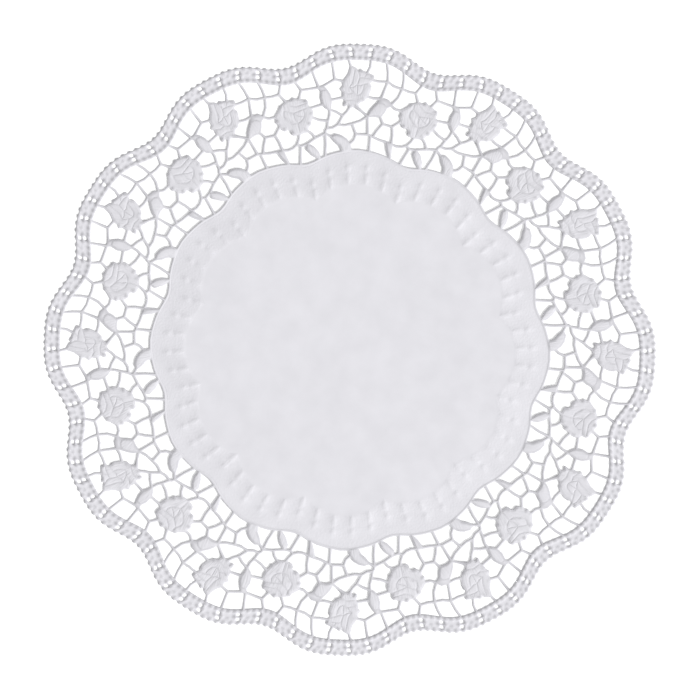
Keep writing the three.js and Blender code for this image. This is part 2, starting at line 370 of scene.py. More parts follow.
# %% Cords and folds
CORDS = [
    ("rimA", "leftFork", 0),
    ("leftFork", "<valley2", 0),
    ("leftFork", "leafATop", -0.2),
    ("rimB", "leafATop", 0.2),
    ("rimC", "crownFork", 0),
    ("crownFork", "leafAShoulder", -0.2),
    ("crownFork", "crown18", -0.15),
    ("rimD", "crown0", 0),
    ("rimE", "crown3", 0.7),
    ("rimF", "curveInner", 0.3),
    ("curveInner", "leafBTop", 0),
    ("rimG", "curveOuter", 0.35),
    ("curveOuter", "leafBRight", 0.8),
    ("crown5", "curveInner", -0.3),
    ("curveInner", "curveOuter", -0.6),
    ("curveOuter", "rightFork", -0.35),
    ("rightFork", "rimH", 0),
    ("rightFork", "valley22", 0),
    ("leafATop", "leafAShoulder", 0),
    ("leafATop", "leafANeckLeft", 0),
    ("leafAShoulder", "leafANeckRight", 0),
    ("leafANeckLeft", "leafANeckRight", 0.35),
    ("leafANeckRight", "leafARight", 0.4),
    ("leafARight", "leafAFoot", 0.15),
    ("leafAFoot", "leafALeft", 0.3),
    ("leafALeft", "leafANeckLeft", 0.6),
    ("leafARight", "crown14", -0.2),
    ("<valley6", "leafALeft", 0),
    ("leafAFoot", "stemFork", 0.35),
    ("leafBTip", "leafBCheek", 0.4),
    ("leafBCheek", "leafBNeckLeft", 0),
    ("leafBNeckLeft", "leafBTop", 0),
    ("leafBNeckLeft", "leafBNeckRight", 1.1),
    ("leafBTop", "leafBKnot", 0),
    ("leafBKnot", "leafBRight", 0),
    ("leafBRight", "leafBNeckRight", 0),
    ("leafBNeckRight", "leafBCorner", 0.25),
    ("leafBCorner", "leafBTip", -0.35),
    ("crown7", "leafBTop", -0.45),
    ("leafBRight", "valley19", -0.75),
    ("crown9", "leafBTip", 0),
    ("leafBCorner", "forkB", 0),
    ("leafAFoot", "mainUpper", 0.35),
    ("<valley7", "mainUpper", -0.5),
    ("mainUpper", "mainMiddle", 0),
    ("mainMiddle", "mainLower", -0.3),
    ("mainLower", "mainBend", 0),
    ("mainBend", "<valley10", -0.5),
    ("mainBend", "leafDTop", 0),
    ("leafDTop", "<loopFoot", 0),
    ("mainLower", "centreB", 0.35),
    ("crown10", "stemFork", 0.3),
    ("stemFork", "stemBend", 0),
    ("stemBend", "mainMiddle", 0.6),
    ("stemBend", "sprigLeft", -0.55),
    ("sprigLeft", "leafBTip", -0.55),
    ("sprigLeft", "sprigFoot", 0),
    ("sprigFoot", "leafCRight", 0.7),
    ("sprigFoot", "crossLeft", -0.15),
    ("leafBTip", "crossLeft", 0),
    ("crossLeft", "crossMiddle", 0),
    ("crossMiddle", "crossRight", 0),
    ("crossMiddle", "centreE", 0),
    ("forkB", "crossRight", -0.25),
    ("forkB", "forkE", 0),
    ("forkE", "valley16", -0.15),
    ("forkE", "leafERight", 0.35),
    ("crossRight", "leafETop", -0.25),
    ("valley11", "loopFork", 0.25),
    ("loopFork", "leafERight", 1.1),
    ("loopFork", "loopFoot", 0),
    ("loopFoot", "centreG", 0),
    ("mainLower", "leafCTip", 0),
    ("leafCTip", "leafCTop", 0),
    ("leafCTop", "leafCRight", 1.1),
    ("leafCRight", "centreD", 0),
    ("centreC", "leafCLeft", 0),
    ("leafCLeft", "leafCTip", 0.3),
    ("leafDTop", "centreA", 1.4),
    ("centreA", "leafDLeft", 0.55),
    ("leafDLeft", "leafDTop", 0),
    ("leafETop", "leafERight", 0),
    ("leafERight", "centreF", 0.2),
    ("centreF", "leafETop", 0.35),
]
FOLDS = [
    ("crown0.5", "crownUpper", 0.2),
    ("crownUpper", "crownSide", 0.3),
    ("crown1", "crownTop", 0.3),
    ("crownTop", "crownHeart", -0.2),
    ("crownTop", "crownRidge", 0),
    ("crownRidge", "crown3", 0),
    ("crownRidge", "crown5", 0.4),
    ("crownHeart", "crownSide", 0.5),
    ("crownHeart", "crownRight", -0.5),
    ("crownRight", "crown6", 0),
    ("crownRight", "crownLow", 0.4),
    ("crownLow", "crownBase", 0.3),
    ("crownBase", "crownBud", 0.2),
    ("crownBud", "crownSide", 0),
    ("crownHeart", "crownBase", 0.2),
    ("crown15", "crownBud", -0.8),
    ("crown13", "crown8", 0.75),
    ("valley21", "valleyLeft", 0),
    ("valleyLeft", "valleyHeart", 0),
    ("valleyLeft", "valleySide", -0.3),
    ("valleySide", "valleyLower", -0.3),
    ("valleyLower", "valleyFoot", -0.8),
    ("valley11", "valleyFoot", 0),
    ("valleyFoot", "valleyTurn", -0.4),
    ("valleyTurn", "valleyRight", -0.6),
    ("valleyRight", "valley5", 0),
    ("valleyRight", "valleyHeart", -0.2),
    ("valley22", "valleyTop", -0.5),
    ("valleyTop", "valley4", 0.1),
    ("valleyHeart", "valleyFoot", -0.4),
    ("valleyHeart", "valleyTurn", -0.3),
]
print(len(CORDS), "cords and", len(FOLDS), "folds in one repeat")

# %% [markdown]
# A net drawing needs only wire: vertices and edges, with no faces yet. Each line is laid as a few
# straight edges, more where it bows. The ends of lines that meet are separate vertices at first,
# and merging the doubles joins them all at once. Every vertex carries two values along: how high
# the die lifts the paper there, and how hard it presses it, which shows later as a darker tone.
# That tone is partly the grey of pressed paper and partly painted shade on steep sides and grooves.
# Marks on folds, on drawn edges and on corners that stay sharp tell the later steps what is what.

# %% Wire helpers
SMALL_BOW = 0.25
WIDE_BOW = 1.05

sheet = bmesh.new()
lift = sheet.verts.layers.float.new("lift")
press_and_shade = sheet.verts.layers.float.new("press_and_shade")
column = sheet.verts.layers.float.new("column")
fold_mark = sheet.verts.layers.int.new("fold")
line_mark = sheet.edges.layers.int.new("line")
corner_hold = sheet.verts.layers.float.new("crease_vert")


def bowed_points(start, end, bow, steps):
    along = (end - start).normalized()
    left = Vector((-along.y, along.x, 0))
    shares = [step / steps for step in range(steps + 1)]
    return [start.lerp(end, share) + left * (4 * bow * share * (1 - share)) for share in shares]


def steps_for(bow):
    if abs(bow) > WIDE_BOW:
        return 3
    return 2 if abs(bow) >= SMALL_BOW else 1


def lay_line(points, height, pressure_and_shade):
    verts = [sheet.verts.new(point) for point in points]
    for vert in verts:
        vert[lift] = height
        vert[press_and_shade] = pressure_and_shade
    for first, second in zip(verts, verts[1:]):
        sheet.edges.new((first, second))[line_mark] = 1
    return verts


print("values on every vertex:", sheet.verts.layers.float.keys())


# %% Junction places
def chart_place(across, outward):
    return place(math.degrees(math.atan2(across, outward)), math.hypot(across, outward))


junctions = {name: chart_place(*where) for name, where in NET_JUNCTIONS.items()}
for name, turn in RIM_JUNCTIONS.items():
    junctions[name] = place(turn, ring_radius(RIM_LINE, turn))
for name, turn in CENTRE_JUNCTIONS.items():
    junctions[name] = place(turn, ring_radius(CENTRE_LINE, turn))


def rose_place(rose, across, outward):
    radius = math.hypot(rose["radius"] + outward, across)
    turn = rose["turn"] + math.degrees(math.atan2(across, rose["radius"] + outward))
    return place(turn, radius)


for rose in (CROWN_ROSE, VALLEY_ROSE):
    corners = [rose_place(rose, across, outward) for across, outward, _ in rose["outline"]]
    for index, (_, _, bow) in enumerate(rose["outline"]):
        following = corners[(index + 1) % len(corners)]
        junctions[f"{rose['name']}{index}"] = corners[index]
        junctions[f"{rose['name']}{index}.5"] = bowed_points(corners[index], following, bow, 2)[1]
    for name, where in rose["folds"].items():
        junctions[name] = rose_place(rose, *where)
fold_names = {*CROWN_ROSE["folds"], *VALLEY_ROSE["folds"]}


def junction(name):
    if name.startswith("<"):
        back = Matrix.Rotation(math.radians(REPEAT_TURN), 3, "Z")
        return back @ junctions[name[1:]]
    return junctions[name]


print(len(junctions), "named places")

# %% Lines of the net, one repeat
# The press values darken the cords, leaf rings and rose outlines: partly pressed tone, partly painted
# shade of their shaded sides.
CORD_LIFT = 0.3
CORD_PRESS_AND_SHADE = 0.36
LEAF_PRESS_AND_SHADE = 0.6
OUTLINE_LIFT = 0.24
OUTLINE_PRESS_AND_SHADE = 0.14
FOLD_LIFT = 0.14
# A fold is painted darker than the petals beside it: painted shade in the groove, with some pressed
# tone.
FOLD_PRESS_AND_SHADE = 0.22

for first, last, bow in CORDS:
    start, end = junction(first), junction(last)
    rounds_a_leaf = first.startswith("leaf") and last.startswith("leaf")
    pressure_and_shade = LEAF_PRESS_AND_SHADE if rounds_a_leaf else CORD_PRESS_AND_SHADE
    lay_line(bowed_points(start, end, bow, steps_for(bow)), CORD_LIFT, pressure_and_shade)

for rose in (CROWN_ROSE, VALLEY_ROSE):
    count = len(rose["outline"])
    for index, (_, _, bow) in enumerate(rose["outline"]):
        start = junction(f"{rose['name']}{index}")
        end = junction(f"{rose['name']}{(index + 1) % count}")
        lay_line(bowed_points(start, end, bow, steps_for(bow)), OUTLINE_LIFT, OUTLINE_PRESS_AND_SHADE)

for first, last, bow in FOLDS:
    start, end = junction(first), junction(last)
    steps = max(steps_for(bow), 1 if fold_names & {first, last} else 2)
    verts = lay_line(bowed_points(start, end, bow, steps), FOLD_LIFT, FOLD_PRESS_AND_SHADE)
    inner = [first in fold_names, *[True] * (steps - 1), last in fold_names]
    for vert, is_inner in zip(verts, inner):
        vert[fold_mark] = int(is_inner)
        if not is_inner:
            vert[lift], vert[press_and_shade] = OUTLINE_LIFT, OUTLINE_PRESS_AND_SHADE
print("one repeat so far:", len(sheet.verts), "vertices,", len(sheet.edges), "edges")

# %% [markdown]
# The rim line under the braid edge has even columns, because the braid's rows grow out of it later.
# The columns lean over on the flanks of a scallop, so that they stand square to the wavy edge. The
# column nearest to a junction of the net gives way to it. The line round the plain centre needs
# no columns, only a few steps between its junctions.

# %% Rim line and centre line
# The rim line and the centre line are painted darker: pressed tone with painted shade.
RIM_PRESS_AND_SHADE = 0.18
CENTRE_PRESS_AND_SHADE = 0.2
COLUMNS = 48
COLUMN_TURN = REPEAT_TURN / COLUMNS
LEAN = 0.88
UPRIGHT_SHARE = 0.45
CENTRE_STEPS = (1, 3, 1, 2, 3, 2, 3)


def leaned(turn, share):
    return turn + LEAN * (share - UPRIGHT_SHARE) * math.sin(math.radians(REPEATS * turn))


rim_columns = [(index + 0.5) * COLUMN_TURN - REPEAT_TURN / 2 for index in range(COLUMNS + 1)]
rim_turns = [leaned(turn, 0) for turn in rim_columns]
for turn in RIM_JUNCTIONS.values():
    nearest = min(range(COLUMNS), key=lambda index: abs(rim_turns[index] - turn))
    rim_turns[nearest] = turn
lay_line([place(turn, ring_radius(RIM_LINE, turn)) for turn in rim_turns], CORD_LIFT, RIM_PRESS_AND_SHADE)

centre_turns = [*CENTRE_JUNCTIONS.values()]
centre_turns.append(centre_turns[0] + REPEAT_TURN)
for start, end, steps in zip(centre_turns, centre_turns[1:], CENTRE_STEPS):
    turns = [start + (end - start) * step / steps for step in range(steps + 1)]
    points = [place(turn, ring_radius(CENTRE_LINE, turn)) for turn in turns]
    lay_line(points, CORD_LIFT, CENTRE_PRESS_AND_SHADE)
print("one repeat:", len(sheet.verts), "vertices,", len(sheet.edges), "edges")

# %% [markdown]
# A spin with duplicates copies the repeat round the middle. Merging the doubles then closes every
# junction, and triangle_fill with dissolve lays a face in every cell of the net at once. It may
# leave a few edges of its own across a cell. They carry no line mark, so they are easy to dissolve,
# and a face that still has one lies outside the rim and is deleted.

# %% Twelve repeats
MERGE_GAP = 0.03

bmesh.ops.spin(
    sheet,
    geom=sheet.verts[:] + sheet.edges[:],
    cent=(0, 0, 0),
    axis=(0, 0, 1),
    angle=-math.radians(360 - REPEAT_TURN),
    steps=REPEATS - 1,
    use_duplicate=True,
)
bmesh.ops.remove_doubles(sheet, verts=sheet.verts, dist=MERGE_GAP)
bmesh.ops.triangle_fill(sheet, edges=sheet.edges[:], use_beauty=False, use_dissolve=True)
extra = [edge for edge in sheet.edges if not edge[line_mark]]
bmesh.ops.dissolve_edges(sheet, edges=extra, use_verts=False)
outside = [face for face in sheet.faces if not all(edge[line_mark] for edge in face.edges)]
bmesh.ops.delete(sheet, geom=outside, context="FACES")
bmesh.ops.recalc_face_normals(sheet, faces=sheet.faces)
if sum(face.normal.z for face in sheet.faces) < 0:
    bmesh.ops.reverse_faces(sheet, faces=sheet.faces)
sheet.normal_update()
print(len(sheet.faces), "cells; rim line edges:", sum(edge.is_boundary for edge in sheet.edges))

# %% [markdown]
# The cells are told apart next, because each kind is made another way. The largest is the plain
# centre. A petal has a fold along its edge, a leaf or its neck holds a middle that is charted here,
# and every other cell is a gap that the die cuts out.

# %% Kinds of cells
NECK_MIDDLES = ((-18.1, 127.5), (13, 121.3))
LEAF_MIDDLES = ((-16.2, 122.5), (10, 118.5), (-9.5, 103), (-21.5, 96.8), (15.3, 100))

cells = sorted(sheet.faces, key=lambda face: -face.calc_area())
plain_centre = cells[0]
petals = [cell for cell in cells[1:] if any(vert[fold_mark] for vert in cell.verts)]
others = [cell for cell in cells[1:] if not any(vert[fold_mark] for vert in cell.verts)]


def every_repeat(point):
    turns = [math.radians(REPEAT_TURN * repeat) for repeat in range(REPEATS)]
    return [Matrix.Rotation(-turn, 3, "Z") @ point for turn in turns]


def cells_at(places):
    points = [point for where in places for point in every_repeat(chart_place(*where))]
    lies_on = bmesh.geometry.intersect_face_point
    return [cell for cell in others if any(lies_on(cell, point) for point in points)]


leaves = cells_at(LEAF_MIDDLES)
necks = cells_at(NECK_MIDDLES)
gaps = [cell for cell in others if cell not in leaves and cell not in necks]
print(len(gaps), "gaps,", len(petals), "petals,", len(leaves), "leaves,", len(necks), "necks")

# %% [markdown]
# The braid edge grows outwards from the rim line. Extruding the line's edges five times gives five
# rows of small four-sided faces. Two of these rows lose one face between every two blocks of the
# braid: these are the pinholes, widened a little. Rows are evener than a drawn outline, and the
# relief can be laid on them later.

# %% Braid edge
BRAID_ROWS = (0.2, 0.43, 0.56, 0.79, 1)
BRAID_LIFT = 0.05
FIRST_COLUMN = rim_columns[COLUMNS // 2]
braid_share = sheet.verts.layers.float.new("braid_share")


def braid_place(turn, share):
    inner, outer = leaned(turn, 0), leaned(turn, 1)
    start = place(inner, ring_radius(RIM_LINE, inner))
    return start.lerp(place(outer, ring_radius(OUTER_EDGE, outer)), share)


def in_turn_order(verts, first_turn):
    """The vertices of a ring in order, clockwise from just before the given turn."""
    start = first_turn - 0.5 * COLUMN_TURN
    return sorted(verts, key=lambda vert: (turn_of(vert.co) - start) % 360)


row_edges = [edge for edge in sheet.edges if edge.is_boundary]
rim_verts = in_turn_order({vert for edge in row_edges for vert in edge.verts}, FIRST_COLUMN)
for index, vert in enumerate(rim_verts):
    vert[column] = FIRST_COLUMN + index * COLUMN_TURN
for share in BRAID_ROWS:
    grown = bmesh.ops.extrude_edge_only(sheet, edges=row_edges)["geom"]
    row_edges = [part for part in grown if isinstance(part, bmesh.types.BMEdge)]
    row_edges = [edge for edge in row_edges if edge.is_boundary]
    for vert in (part for part in grown if isinstance(part, bmesh.types.BMVert)):
        vert.co = braid_place(vert[column], share)
        vert[braid_share] = share
        vert[lift] = BRAID_LIFT
        vert[press_and_shade] = 0
sheet.normal_update()
print(len(rim_verts), "columns and", len(BRAID_ROWS), "rows of the braid")

# %% Pinholes
PINHOLE_ROWS = (0.315, 0.675)
ROW_MATCH = 0.02
PINHOLE_GROWTH = 1.12
PINHOLE_HOLD = 0.2
BLOCK_TURN = 3.75


def block_phase(turn):
    """Turn from the nearest pair of pinholes, half-way between two blocks of the braid."""
    return (turn % BLOCK_TURN) - BLOCK_TURN / 2


def is_pinhole(face):
    if not all(vert[braid_share] > 0 for vert in face.verts):
        return False
    row = sum(vert[braid_share] for vert in face.verts) / 4
    turns = [vert[column] for vert in face.verts]
    closes_ring = max(turns) - min(turns) > REPEAT_TURN
    if closes_ring or abs(block_phase(sum(turns) / 4)) > COLUMN_TURN / 3:
        return False
    return min(abs(row - pinhole_row) for pinhole_row in PINHOLE_ROWS) < ROW_MATCH


pinholes = [face for face in sheet.faces if is_pinhole(face)]
for pinhole in pinholes:
    middle = pinhole.calc_center_median()
    for vert in pinhole.verts:
        vert.co = middle.lerp(vert.co, PINHOLE_GROWTH)
        vert[corner_hold] = PINHOLE_HOLD
print(len(pinholes), "pinholes cut in the braid edge")
bmesh.ops.delete(sheet, geom=pinholes, context="FACES")

# %% [markdown]
# A cord is the paper that stays between two gaps. Each gap's face is inset by half a cord, and the
# inner face is removed. The inset leaves a ring of faces round the hole, so every cord gets a
# middle line that can stand up and two edges that stay down: a round cord in the end.

# %% Gaps
CORD_HALF = 0.6
# The cut edges are painted darker: painted shade along the steep edges of the cords, with some pressed
# tone.
GAP_EDGE_PRESS_AND_SHADE = 0.3
CORNER_HOLD = 0.3

bmesh.ops.inset_individual(sheet, faces=gaps, thickness=CORD_HALF, use_even_offset=True)
for vert in {vert for gap in gaps for vert in gap.verts}:
    vert[lift] = 0
    vert[press_and_shade] = GAP_EDGE_PRESS_AND_SHADE
    vert[corner_hold] = CORNER_HOLD
bmesh.ops.delete(sheet, geom=gaps, context="FACES_ONLY")
print("faces after the gaps are cut:", len(sheet.faces))

# %% [markdown]
# Petals and leaves are small pillows of paper between pressed lines. An inset gives each one a
# shoulder, and the shoulder's slope makes the pillow, so a broad petal stands higher than a narrow
# one. A leaf is higher still, and the smallest leaf is painted nearly as dark as a cord, pressed
# tone and painted shade together. Rounding would fold a hollow panel over its own middle, so such
# a panel is split into bulging ones.

# %% Petals and leaves
WIDEST_SHOULDER = 0.85
SHOULDER_SHARE = 0.65
SHOULDER_SLOPE = 0.2
LEAF_TOP = 0.42
# Panels are painted a little darker too: pressed tone with some painted shade.
PANEL_PRESS_AND_SHADE = 0.1
SMALL_LEAF_AREA = 14
SMALL_LEAF_PRESS_AND_SHADE = 0.45
vein_mark = sheet.verts.layers.float.new("vein")


def is_hollow(panel):
    """Whether the panel's middle is out of sight of one of its sides."""
    middle = panel.calc_center_median()
    corners = [vert.co - middle for vert in panel.verts]
    return any(first.cross(second).z <= 0 for first, second in zip(corners, corners[1:] + corners[:1]))


panels = petals + leaves
tops = []
for index, panel in enumerate(panels):
    is_petal = index < len(petals)
    area = panel.calc_area()
    shoulder = min(WIDEST_SHOULDER, SHOULDER_SHARE * area / panel.calc_perimeter())
    tops.append(FOLD_LIFT + SHOULDER_SLOPE * shoulder if is_petal else LEAF_TOP)
    pressure_and_shade = PANEL_PRESS_AND_SHADE if is_petal or area > SMALL_LEAF_AREA else SMALL_LEAF_PRESS_AND_SHADE
    bmesh.ops.inset_individual(sheet, faces=[panel], thickness=shoulder, use_even_offset=False)
    for vert in panel.verts:
        vert[lift] = tops[-1]
        vert[press_and_shade] = pressure_and_shade
        vert[vein_mark] = 1
print("pillow heights, mm:", round(min(tops), 2), "to", round(max(tops), 2))

# %% Hollow panels
hollow = [panel for panel in panels if is_hollow(panel)]
pillows = [panel for panel in panels + necks if panel not in hollow]
pillow_middles = [pillow.calc_center_median() for pillow in pillows]
bmesh.ops.connect_verts_concave(sheet, faces=hollow)
print(len(hollow), "of", len(panels), "panels were hollow and are split")

# %% [markdown]
# The plain centre is pressed too: a thin cord runs round it, and inside the cord stand sixty short
# strokes, whose radius follows the scallops of the edge. One ring of faces is extruded row by row,
# so that three lines and a few rows lie where each stroke is going to stand. They aren't raised
# yet, because a ridge on so few faces would come out sharp.

# %% Border of the plain centre
# Each row: width, and press on its inner line, pressed tone with painted shade
BORDER_ROWS = ((CORD_HALF, 0.08), (0.7, 0))

for width, pressure_and_shade in BORDER_ROWS:
    bmesh.ops.inset_individual(sheet, faces=[plain_centre], thickness=width, use_even_offset=True)
    for vert in plain_centre.verts:
        vert[lift] = 0
        vert[press_and_shade] = pressure_and_shade
border_edges = list(plain_centre.edges)
bmesh.ops.delete(sheet, geom=[plain_centre], context="FACES_ONLY")
print("border of the centre:", len(border_edges), "edges")

# %% Rows under the strokes
STROKE_TURNS = (-8.7, -2.7, 3.3, 9.3, 15.3)
STROKE_RING = (86.9, 2.89, -1.105)
STROKE_HALF = 1.9
STROKE_ROWS = (2.2, 0.4, -1.5, -3.6, -5.8, -8.6)
LINES = 3 * len(STROKE_TURNS)


def stroke_place(line, row):
    """Place of one line of the ring in one row. A stroke's three lines meet in the last row."""
    repeat, kind = divmod(line, LINES)
    middle = STROKE_TURNS[kind // 3] + repeat * REPEAT_TURN
    half_width = STROKE_HALF if row < len(STROKE_ROWS) - 1 else 0
    radius = ring_radius(STROKE_RING, middle) + STROKE_ROWS[row]
    return place(middle + (kind % 3 - 1) * math.degrees(half_width / radius), radius)


def extrude_inwards(edges):
    grown = bmesh.ops.extrude_edge_only(sheet, edges=edges)["geom"]
    verts = [part for part in grown if isinstance(part, bmesh.types.BMVert)]
    chosen = set(verts)
    edges = [part for part in grown if isinstance(part, bmesh.types.BMEdge)]
    return verts, [edge for edge in edges if set(edge.verts) <= chosen]


border = in_turn_order({vert for edge in border_edges for vert in edge.verts}, centre_turns[0])
for index, vert in enumerate(border):
    vert[column] = index
ring_edges = border_edges
for row in range(len(STROKE_ROWS)):
    ring, ring_edges = extrude_inwards(ring_edges)
    for vert in ring:
        vert.co = stroke_place(round(vert[column]), row)
        vert[press_and_shade] = 0
print(LINES * REPEATS // 3, "strokes")

# %% [markdown]
# The rest of the centre is smooth, so it needs few faces. The lines run together by nines on a
# ring further in, and one face fills what that ring leaves open. Merging the doubles closes the
# lines that have met, here and at the strokes.

# %% Inside of the plain centre
INNER_RING = 58
INNER_START = -12
LINE_TURN = REPEAT_TURN / LINES
SHARED = 9

ring, ring_edges = extrude_inwards(ring_edges)
for vert in ring:
    line = round(vert[column]) // SHARED * SHARED
    vert.co = place(LINE_TURN * (line + SHARED / 2) + INNER_START, INNER_RING)
bmesh.ops.remove_doubles(sheet, verts=sheet.verts, dist=MERGE_GAP)
inner_verts = {vert for vert in sheet.verts if vert.co.length < INNER_RING + 1}
inside = [edge for edge in sheet.edges if edge.is_boundary and set(edge.verts) <= inner_verts]
bmesh.ops.contextual_create(sheet, geom=inside)
bmesh.ops.recalc_face_normals(sheet, faces=sheet.faces)
if sum(face.normal.z for face in sheet.faces) < 0:
    bmesh.ops.reverse_faces(sheet, faces=sheet.faces)
sheet.normal_update()
print("faces that look down:", sum(face.normal.z <= 0 for face in sheet.faces))
paper_area = sum(face.calc_area() for face in sheet.faces) * MM * MM
print("flat paper left after cutting, square metres:", round(paper_area, 4))

# %% [markdown]
# Up to here everything lay flat. Now each vertex goes up by the lift that it carries. One level of
# subdivision then rounds the relief and the cut edges, and carries the other values along. It is
# applied at once, because the beads and strokes are finer than the first mesh. Rounding would also
# pull the long thin faces of the cords into the corners of the gaps. So a second copy is divided
# without any rounding, and every vertex that isn't on a cut edge takes its place, but not its
# height, from there.

# %% Relief and rounding
for vert in sheet.verts:
    vert.co.z = vert[lift]
flat_mesh = bpy.data.meshes.new("flat_net")
sheet.to_mesh(flat_mesh)
sheet.free()
net_object = bpy.data.objects.new("flat_net", flat_mesh)
bpy.context.scene.collection.objects.link(net_object)
rounding = net_object.modifiers.new("rounding", "SUBSURF")
rounding.levels = 1
rounding.render_levels = 1
rounding.use_limit_surface = False


def divided(kind):
    rounding.subdivision_type = kind
    bpy.context.view_layer.update()
    evaluated = net_object.evaluated_get(bpy.context.evaluated_depsgraph_get())
    return bpy.data.meshes.new_from_object(evaluated)


straight_mesh = divided("SIMPLE")
lace_mesh = divided("CATMULL_CLARK")
lace_mesh.name = "paper_lace"
edge_uses = Counter(loop.edge_index for loop in lace_mesh.loops)
cut_edges = [edge for edge in lace_mesh.edges if edge_uses[edge.index] == 1]
cut_verts = {index for edge in cut_edges for index in edge.vertices}
for vert, straight in zip(lace_mesh.vertices, straight_mesh.vertices):
    if vert.index not in cut_verts:
        vert.co.xy = straight.co.xy
bpy.data.objects.remove(net_object)
bpy.data.meshes.remove(flat_mesh)
bpy.data.meshes.remove(straight_mesh)
print(len(cut_verts), "vertices on the cut edges")
print("faces after rounding:", len(lace_mesh.polygons))

# %% [markdown]
# The braid has two rows of beads, twenty-three to a repeat at the edge and twenty-five on the inner
# cord, so they slip past each other as in a real braid. Between the rows, oval bumps stand beside
# the pinholes, and each block has a low bump in its middle. Each shape is a small dome, worked out
# from a vertex's place in the braid, so it needs no extra faces.

# %% Small domes
DOME_POWER = 0.7


def dome(across, along, half_across, half_along):
    """Height of a round or oval bump, 1 at its middle and 0 outside."""
    distance = (across / half_across) ** 2 + (along / half_along) ** 2
    return (1 - distance) ** DOME_POWER if distance < 1 else 0


def from_nearest(turn, pitch, start):
    return (turn - start + pitch / 2) % pitch - pitch / 2


print("a dome's height half-way to its rim:", round(dome(0.5, 0, 1, 1), 2))

# %% Beads at one place of the braid
BRAID_WIDTH = 7.35
EDGE_BEAD_TURN = REPEAT_TURN / 23
INNER_BEAD_TURN = REPEAT_TURN / 25
PINHOLE_SIDE_TURN = 0.62
# Each row: share of the full height, middle above the rim line, half width and half height
EDGE_BEAD = (0.85, 6.5, 1.15, 1.1)
SIDE_BUMP = (1, 3.4, 0.95, 1.35)
MIDDLE_BUMP = (0.55, 4.3, 1, 1)
INNER_BEAD = (1, 0.45, 1.15, 1.1)
LEAN_PASSES = 4


def braid_turn(turn, share):
    """Undo the lean of the braid's columns."""
    found = turn
    for _ in range(LEAN_PASSES):
        found += turn - leaned(found, share)
    return found


def bump_height(bump, across, up):
    strength, middle, half_width, half_height = bump
    return strength * dome(across, up - middle, half_width, half_height)


def braid_bead(turn, upright_turn, share, radius):
    """How much of a bead stands at one place of the braid, from 0 to 1."""
    to_mm = math.radians(radius)
    up = share * BRAID_WIDTH
    edge = from_nearest(turn, EDGE_BEAD_TURN, EDGE_BEAD_TURN / 2) * to_mm
    beside = (abs(block_phase(upright_turn)) - PINHOLE_SIDE_TURN) * to_mm
    middle = from_nearest(upright_turn, BLOCK_TURN, 0) * to_mm
    inner = from_nearest(turn, INNER_BEAD_TURN, 0) * to_mm
    bumps = ((EDGE_BEAD, edge), (SIDE_BUMP, beside), (MIDDLE_BUMP, middle), (INNER_BEAD, inner))
    return max(bump_height(bump, across, up) for bump, across in bumps)


print("width of an edge bead's place, mm:", round(math.radians(EDGE_BEAD_TURN) * OUTER_EDGE[0], 2))

# %% Beads of the braid
BEAD_LIFT = 0.5
# The beads are painted darker with their height: painted shade round their steep sides, with some
# pressed tone.
BEAD_PRESS_AND_SHADE = 0.85
LEAST_SHARE = 0.03
RIM_REACH = 1
EDGE_SHARE = 0.9
EDGE_SWELL = 0.35

raised = 0
shares = lace_mesh.attributes["braid_share"].data
press_and_shade_data = lace_mesh.attributes["press_and_shade"].data
for vert, share_value, press_and_shade_value in zip(lace_mesh.vertices, shares, press_and_shade_data):
    share = share_value.value
    turn = turn_of(vert.co)
    radius = math.hypot(vert.co.x, vert.co.y)
    rim_distance = radius - ring_radius(RIM_LINE, turn)
    if share < LEAST_SHARE:
        if abs(rim_distance) >= RIM_REACH:
            continue
        share = rim_distance / BRAID_WIDTH
    bead = braid_bead(turn, braid_turn(turn, share), share, radius)
    raised += bead > 0
    vert.co.z += BEAD_LIFT * bead
    press_and_shade_value.value = max(press_and_shade_value.value, BEAD_PRESS_AND_SHADE * bead)
    if share > EDGE_SHARE:
        swell = math.cos(math.radians(360) * (turn / EDGE_BEAD_TURN - 0.5))
        vert.co += Vector((vert.co.x, vert.co.y, 0)).normalized() * (EDGE_SWELL * swell)
print(raised, "vertices raised for beads")

# %% [markdown]
# Each stroke of the centre is a long ridge in two parts, a short one outside and a longer one
# further in. It is steep across and nearly level along, as a blunt tool presses it. Raised now,
# on the finer mesh, it keeps a soft outline.

# %% Strokes of the plain centre
STROKE_LIFT = 0.4
STROKE_PITCH = 6
# Each part: middle, outward from the stroke's ring, and half length
STROKE_PARTS = ((0.4, 2), (-4.9, 3.4))


def ridge(across, along, half_length):
    """A long bump: steep across, nearly level along most of its length."""
    if abs(across) > STROKE_HALF or abs(along) > half_length:
        return 0
    return (1 - (across / STROKE_HALF) ** 2) ** 3 * (1 - (along / half_length) ** 4) ** 2


for vert in lace_mesh.vertices:
    turn = turn_of(vert.co)
    radius = math.hypot(vert.co.x, vert.co.y)
    aside = from_nearest(turn, STROKE_PITCH, STROKE_TURNS[0])
    across = math.radians(aside) * radius
    along = radius - ring_radius(STROKE_RING, turn - aside)
    ridges = [ridge(across, along - middle, half) for middle, half in STROKE_PARTS]
    vert.co.z += STROKE_LIFT * sum(ridges)
print("strokes stand", STROKE_LIFT, "mm high")

# %% [markdown]
# Where a cord meets a rose, and where folds meet inside it, the die leaves a small round knob. A
# dome raises the vertices near the knob's middle. On the rose's rim the knob also pushes the cut
# edge outwards, which gives the rose its knotted outline.

# %% Knobs of the roses
KNOB_LIFT = 0.2
KNOB_RADIUS = 1.15
# A knob is painted darker by its dome: painted shade round the knob, with some pressed tone.
KNOB_PRESS_AND_SHADE = 0.8

